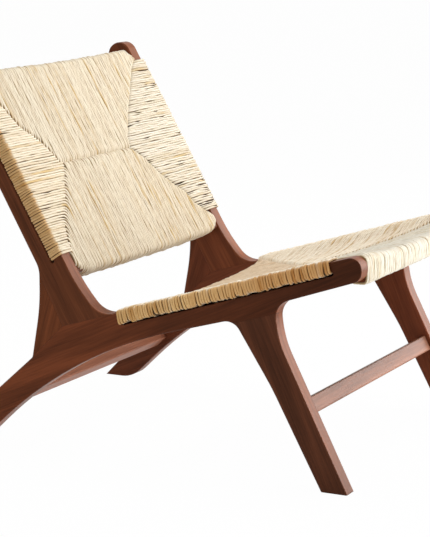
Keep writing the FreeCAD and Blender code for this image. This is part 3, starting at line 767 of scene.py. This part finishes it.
def pad(name, plane, xs, stations, upper, lower, node, material):
    """A closed pad between an upper and a lower surface."""
    grids = []
    for surface in (upper, lower):
        grids.append(plane.place([(x, s, surface(x, s)) for x in xs for s in stations]))
    wide, deep = len(xs), len(stations)
    layer = wide * deep
    faces = []
    for i in range(wide - 1):
        for j in range(deep - 1):
            a = i * deep + j
            faces.append((a, a + deep, a + deep + 1, a + 1))
            faces.append((layer + a, layer + a + 1, layer + a + deep + 1, layer + a + deep))
    rim = [i * deep for i in range(wide)] + [(wide - 1) * deep + j for j in range(1, deep)]
    rim += [i * deep + deep - 1 for i in range(wide - 2, -1, -1)] + list(range(deep - 2, 0, -1))
    for a, b in zip(rim, rim[1:] + rim[:1]):
        faces.append((b, a, layer + a, layer + b))
    add_piece(name, new_mesh(name, np.vstack(grids), faces), node, material)


def unlevel(x, s, across, along):
    """Unevenness of a pad's face, in waves of so many radians per metre."""
    return PAD_UNEVEN * math.sin(across * x) * math.sin(along * s)


def fill_panels(material):
    xs = np.linspace(-PAD_HALF, PAD_HALF, PAD_COLUMNS)
    pad("back_packing", BACK, xs, np.linspace(*BACK_PAD_REACH, BACK_PAD_ROWS),
        lambda x, s: BACK_PAD_FACE + unlevel(x, s, *PAD_UPPER_WAVES),
        lambda x, s: BACK_PAD_REAR + unlevel(x, s, *PAD_LOWER_WAVES), "back_weave", material)
    pad("seat_packing", SEAT, xs, np.linspace(*SEAT_PAD_REACH, SEAT_PAD_ROWS),
        lambda x, s: seat_face(x, s) - SEAT_PAD_BELOW + unlevel(x, s, *PAD_UPPER_WAVES),
        lambda x, s: SEAT_UNDER + SEAT_PAD_ABOVE + unlevel(x, s, *PAD_LOWER_WAVES),
        "seat_weave", material)


def sleeves(name, plane, first, last, under, material):
    """Packing round the bar of each side frame, below the strands that are wound round it."""
    stations = np.linspace(first + SLEEVE_END, last - SLEEVE_END, SLEEVE_ROWS)
    for side, sign in (("_left_sleeve", -1), ("_right_sleeve", 1)):
        xs = sorted(sign * np.linspace(SLEEVE_IN, SLEEVE_OUT, SLEEVE_COLUMNS))
        pad(name + side, plane, xs, stations, lambda x, s: WRAP_FACE - SLEEVE_UNDER_STRANDS,
            lambda x, s: under + SLEEVE_UNDER_STRANDS, name + "_weave", material)


# Materials.


class Nodes:
    """Short names for the nodes and links of a material or of the world."""

    def __init__(self, owner, output="OutputMaterial"):
        self.owner = owner
        owner.use_nodes = True
        self.tree = owner.node_tree
        self.tree.nodes.clear()
        self.surface = self.add(output).inputs["Surface"]

    def add(self, kind, **settings):
        node = self.tree.nodes.new("ShaderNode" + kind)
        for key, setting in settings.items():
            setattr(node, key, setting)
        return node

    def link(self, source, target):
        self.tree.links.new(source, target)

    def feed(self, socket, term):
        """Sets a socket to a number or a colour, or links it to what another node gives."""
        if isinstance(term, (int, float)):
            socket.default_value = term
        elif isinstance(term, tuple):
            socket.default_value = (*term, 1)
        else:
            self.link(term, socket)

    def math(self, operation, *terms):
        node = self.add("Math", operation=operation)
        for socket, term in zip(node.inputs, terms):
            self.feed(socket, term)
        return node.outputs[0]

    def times(self, first, second):
        return self.math("MULTIPLY", first, second)

    def plus(self, first, second):
        return self.math("ADD", first, second)

    def split(self, vector):
        node = self.add("SeparateXYZ")
        self.link(vector, node.inputs[0])
        return node.outputs

    def scaled(self, terms, factors):
        """A vector of three values, each times its own factor."""
        node = self.add("CombineXYZ")
        for socket, term, factor in zip(node.inputs, terms, factors):
            self.link(self.times(term, factor), socket)
        return node.outputs[0]

    def share(self, value, first, last, **settings):
        """How far a value has come from a first to a last one."""
        node = self.add("MapRange", **settings)
        node.inputs["From Min"].default_value = first
        node.inputs["From Max"].default_value = last
        self.link(value, node.inputs["Value"])
        return node.outputs["Result"]

    def noise(self, vector, scale, detail, distortion=0.0):
        node = self.add("TexNoise")
        node.inputs["Scale"].default_value = scale
        node.inputs["Detail"].default_value = detail
        node.inputs["Distortion"].default_value = distortion
        self.link(vector, node.inputs["Vector"])
        return node.outputs["Fac"]

    def ramp(self, factor, stops):
        node = self.add("ValToRGB")
        elements = node.color_ramp.elements
        while len(elements) < len(stops):
            elements.new(0.5)
        for element, (position, colour) in zip(elements, stops):
            element.position = position
            element.color = (*colour, 1)
        self.link(factor, node.inputs["Fac"])
        return node.outputs["Color"]

    def mix(self, factor, first, second, blend="MIX"):
        node = self.add("Mix", data_type="RGBA", blend_type=blend)
        for index, term in ((0, factor), (6, first), (7, second)):
            self.feed(node.inputs[index], term)
        return node.outputs[2]

    def tinted(self, colour, tints):
        return self.mix(1.0, colour, tints, "MULTIPLY")

    def bump(self, height, strength, distance):
        node = self.add("Bump")
        node.inputs["Strength"].default_value = strength
        node.inputs["Distance"].default_value = distance
        self.link(height, node.inputs["Height"])
        return node

    def finish(self, colour, roughness, bump):
        """Ends the material in a shader, which it hands back for further settings."""
        shader = self.add("BsdfPrincipled")
        self.link(colour, shader.inputs["Base Color"])
        self.feed(shader.inputs["Roughness"], roughness)
        self.link(bump.outputs[0], shader.inputs["Normal"])
        self.link(shader.outputs[0], self.surface)
        return shader


def rush_material(name, tones):
    """Twisted rush: two plies wound together, straw-coloured with darker and golden lengths, with
    painted shade in the ply grooves, in the crevices beside each strand and on the wraps' outer sides.
    """
    nodes = Nodes(bpy.data.materials.new(name))
    lay = nodes.add("Attribute", attribute_name="lay")
    around, run, shade = nodes.split(lay.outputs["Vector"])
    streak = nodes.noise(nodes.scaled((run, shade, around), STREAK_SCALES), *STREAK_NOISE)
    tone = nodes.plus(nodes.times(streak, STREAK_SHARE), nodes.times(shade, SHADE_SHARE))
    colour = nodes.ramp(tone, list(zip(RUSH_STOPS, tones)))

    turns = nodes.plus(nodes.times(around, PLY_AROUND), nodes.times(run, PLY_TURNS))
    turns = nodes.plus(turns, nodes.times(shade, PLY_SHIFT))
    ply = nodes.math("SINE", nodes.times(turns, 2 * math.pi))
    ply = nodes.plus(nodes.times(ply, 0.5), 0.5)
    fibre = nodes.noise(nodes.scaled((turns, run, shade), FIBRE_SCALES), *PLY_NOISE)
    # painted shade in the grooves between the plies
    colour = nodes.mix(GROOVE_SHADE_SHARE, colour, nodes.ramp(ply, GROOVE_SHADE_TINTS), "MULTIPLY")
    # painted shade in the crevices beside each strand
    beside = nodes.math("ABSOLUTE", nodes.math("SUBTRACT", around, 0.5))
    colour = nodes.tinted(colour, nodes.ramp(beside, CREVICE_SHADE_TINTS))

    # painted shade: the outer sides of the wraps are tinted darker and more golden, varying from front
    # to back
    x, y, _ = nodes.split(nodes.add("TexCoord").outputs["Object"])
    uneven = nodes.times(nodes.math("SUBTRACT", streak, 0.5), OUTER_SHADE_UNEVEN)
    outside = nodes.plus(nodes.math("ABSOLUTE", x), uneven)
    outer_shade = nodes.share(outside, OUTER_SHADE_START, OUTER_SHADE_FULL, interpolation_type="SMOOTHSTEP")
    depth = nodes.share(y, CHAIR_FRONT, CHAIR_REAR)
    colour = nodes.mix(outer_shade, colour, nodes.tinted(colour, nodes.ramp(depth, OUTER_SHADE_TINTS)))

    height = nodes.plus(ply, nodes.times(fibre, FIBRE_HEIGHT))
    shader = nodes.finish(colour, RUSH_ROUGHNESS, nodes.bump(height, *RUSH_BUMP))
    shader.inputs["Specular IOR Level"].default_value = RUSH_SPECULAR
    return nodes.owner


def packing_material():
    nodes = Nodes(bpy.data.materials.new("packing"))
    # near-black colour: painted shade of the hollows behind the strands
    noise = nodes.noise(nodes.add("TexCoord").outputs["Object"], *PACKING_NOISE)
    nodes.finish(nodes.ramp(noise, PACKING_SHADE_TONES), PACKING_ROUGHNESS, nodes.bump(noise, *PACKING_BUMP))
    return nodes.owner


def brighter(tone, factor):
    return tuple(factor * part for part in tone)


def wood_material(name, angle, tone, offset=(0, 0, 0), across=False, painted_shade=False):
    """Straight-grained wood, its grain laid along a board at an angle in the side view, with a painted
    highlight on the side boards' narrow edge faces and painted shade towards the front of the lower
    rails.
    """
    nodes = Nodes(bpy.data.materials.new(name))
    place = nodes.add("TexCoord").outputs["Object"]
    turned = nodes.add("Mapping", vector_type="TEXTURE")
    turned.inputs["Rotation"].default_value = (math.radians(angle), 0, 0)
    turned.inputs["Location"].default_value = offset
    nodes.link(place, turned.inputs["Vector"])

    def grain(scale, detail, stretch, distortion):
        squeeze = nodes.add("Mapping")
        squeeze.inputs["Scale"].default_value = (stretch, 1, 1) if across else (1, stretch, 1)
        nodes.link(turned.outputs[0], squeeze.inputs["Vector"])
        return nodes.noise(squeeze.outputs[0], scale, detail, distortion)

    bands = grain(*BAND_NOISE)
    fibres = grain(*FIBRE_NOISE)
    figure = nodes.plus(nodes.times(bands, BAND_SHARE), nodes.times(fibres, FIBRE_SHARE))
    greys = [(grey, grey, grey) for grey in (DARK_GRAIN / LIGHT_GRAIN, 1 / LIGHT_GRAIN, 1)]
    figure = nodes.ramp(figure, list(zip(FIGURE_STOPS, greys)))

    tones = brighter(tone, LIGHT_GRAIN)
    # painted shade: the lower rails are darker towards the front
    if painted_shade:
        depth = nodes.share(nodes.split(place)[1], CHAIR_FRONT, CHAIR_REAR)
        tones = nodes.ramp(depth, [(share, brighter(tones, fade)) for share, fade in RAIL_PAINTED_SHADE])
    # painted highlight on the side boards' narrow edge faces
    facing = nodes.split(nodes.add("NewGeometry").outputs["True Normal"])
    edge = nodes.share(nodes.math("ABSOLUTE", facing[0]), *EDGE_HIGHLIGHT_FACING)
    highlight_tone = brighter(tone if across else EDGE_HIGHLIGHT_WOOD, LIGHT_GRAIN)
    colour = nodes.tinted(nodes.mix(edge, tones, highlight_tone), figure)

    bump = nodes.bump(fibres, *WOOD_BUMP)
    bevel = nodes.add("Bevel", samples=WOOD_EDGE_SAMPLES)
    bevel.inputs["Radius"].default_value = WOOD_EDGE_RADIUS
    nodes.link(bevel.outputs[0], bump.inputs["Normal"])
    rough = nodes.plus(nodes.times(fibres, WOOD_ROUGHNESS_SPREAD), WOOD_ROUGHNESS)
    shader = nodes.finish(colour, rough, bump)
    shader.inputs["Specular IOR Level"].default_value = WOOD_SPECULAR
    shader.inputs["Specular Tint"].default_value = WOOD_SPECULAR_TINT
    return nodes.owner


def dress(name, material):
    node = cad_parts[name]
    node.data.materials.clear()
    node.data.materials.append(material)


def dress_wood():
    for board, (angle, offset, *tones) in BOARDS.items():
        for side, tone, shift in zip(("right_", "left_"), tones, (0.0, LEFT_SHIFT)):
            place = (offset[0] + shift, offset[1], offset[2])
            painted_shade = board == "lower_rail"
            dress(side + board, wood_material(side + board, angle, tone, place, painted_shade=painted_shade))
    for name, tone in STRETCHERS.items():
        dress(name, wood_material(name, 0, tone, across=True))
    rail = wood_material("rail_wood", 0, RAIL_WOOD, across=True)
    for name in RAILS:
        dress(name, rail)
    top_rail(rail)
    dowel = wood_material("dowel_wood", 0, DOWEL_WOOD, across=True)
    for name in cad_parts:
        if name.endswith("dowels"):
            dress(name, dowel)


# Stage, light and camera.


def white_when_seen(nodes, lit, glow, share=1.0):
    """Shows the camera and reflections white, and lets the lit shader do all the rest."""
    path = nodes.add("LightPath")
    seen = nodes.math("MAXIMUM", path.outputs["Is Camera Ray"], path.outputs["Is Glossy Ray"])
    seen = nodes.math("MAXIMUM", seen, path.outputs["Is Transmission Ray"])
    glow.inputs["Strength"].default_value = 1.0
    mix = nodes.add("MixShader")
    nodes.link(nodes.times(seen, share), mix.inputs[0])
    nodes.link(lit.outputs[0], mix.inputs[1])
    nodes.link(glow.outputs[0], mix.inputs[2])
    nodes.link(mix.outputs[0], nodes.surface)


def stage():
    nodes = Nodes(bpy.data.materials.new("floor"))
    diffuse = nodes.add("BsdfDiffuse")
    diffuse.inputs["Color"].default_value = FLOOR_COLOUR
    white_when_seen(nodes, diffuse, nodes.add("Emission"), FLOOR_WHITE)
    reach = FLOOR_REACH
    corners = np.array([(-reach, -reach, 0), (reach, -reach, 0), (reach, reach, 0), (-reach, reach, 0)])
    mesh = new_mesh("floor", corners, [(0, 1, 2, 3)])
    mesh.materials.append(nodes.owner)
    floor = bpy.data.objects.new("floor", mesh)
    bpy.context.scene.collection.objects.link(floor)

    nodes = Nodes(bpy.data.worlds.new("studio"), "OutputWorld")
    light = nodes.add("Background")
    white = nodes.add("Background")
    for background in (light, white):
        background.inputs["Color"].default_value = (1, 1, 1, 1)
    light.inputs["Strength"].default_value = WORLD_STRENGTH
    white_when_seen(nodes, light, white)
    bpy.context.scene.world = nodes.owner


def lamp(name, place, size, power):
    data = bpy.data.lights.new(name, "AREA")
    data.shape = "SQUARE"
    data.size = size
    data.energy = power
    lamp_object = bpy.data.objects.new(name, data)
    lamp_object.location = place
    aim = Vector(LAMP_TARGET) - Vector(place)
    lamp_object.rotation_euler = aim.to_track_quat("-Z", "Y").to_euler()
    lamp_object.visible_camera = False
    bpy.context.scene.collection.objects.link(lamp_object)


def camera():
    data = bpy.data.cameras.new("camera")
    data.lens = CAMERA_LENS
    data.sensor_width = SENSOR_WIDTH
    data.sensor_fit = "HORIZONTAL"
    data.clip_end = CAMERA_REACH
    camera_object = bpy.data.objects.new("camera", data)
    camera_object.location = CAMERA_PLACE
    camera_object.rotation_euler = (math.radians(CAMERA_TILT), 0, math.radians(CAMERA_HEADING))
    bpy.context.scene.collection.objects.link(camera_object)
    bpy.context.scene.camera = camera_object


rushes = {name: rush_material(name, tones) for name, tones in RUSHES.items()}
weave_back(rushes)
weave_seat(rushes)
packing = packing_material()
fill_panels(packing)
sleeves("back", BACK, BACK_WRAP_START, BACK_WRAP_LENGTH, POST_WRAP_REAR, packing)
sleeves("seat", SEAT, SEAT_WRAP_START, SEAT_WRAP_END, SEAT_WRAP_UNDER, packing)
dress_wood()
stage()
camera()
for name, (place, size, power) in LAMPS.items():
    lamp(name, place, size, power)
bpy.context.scene.view_settings.view_transform = "Standard"
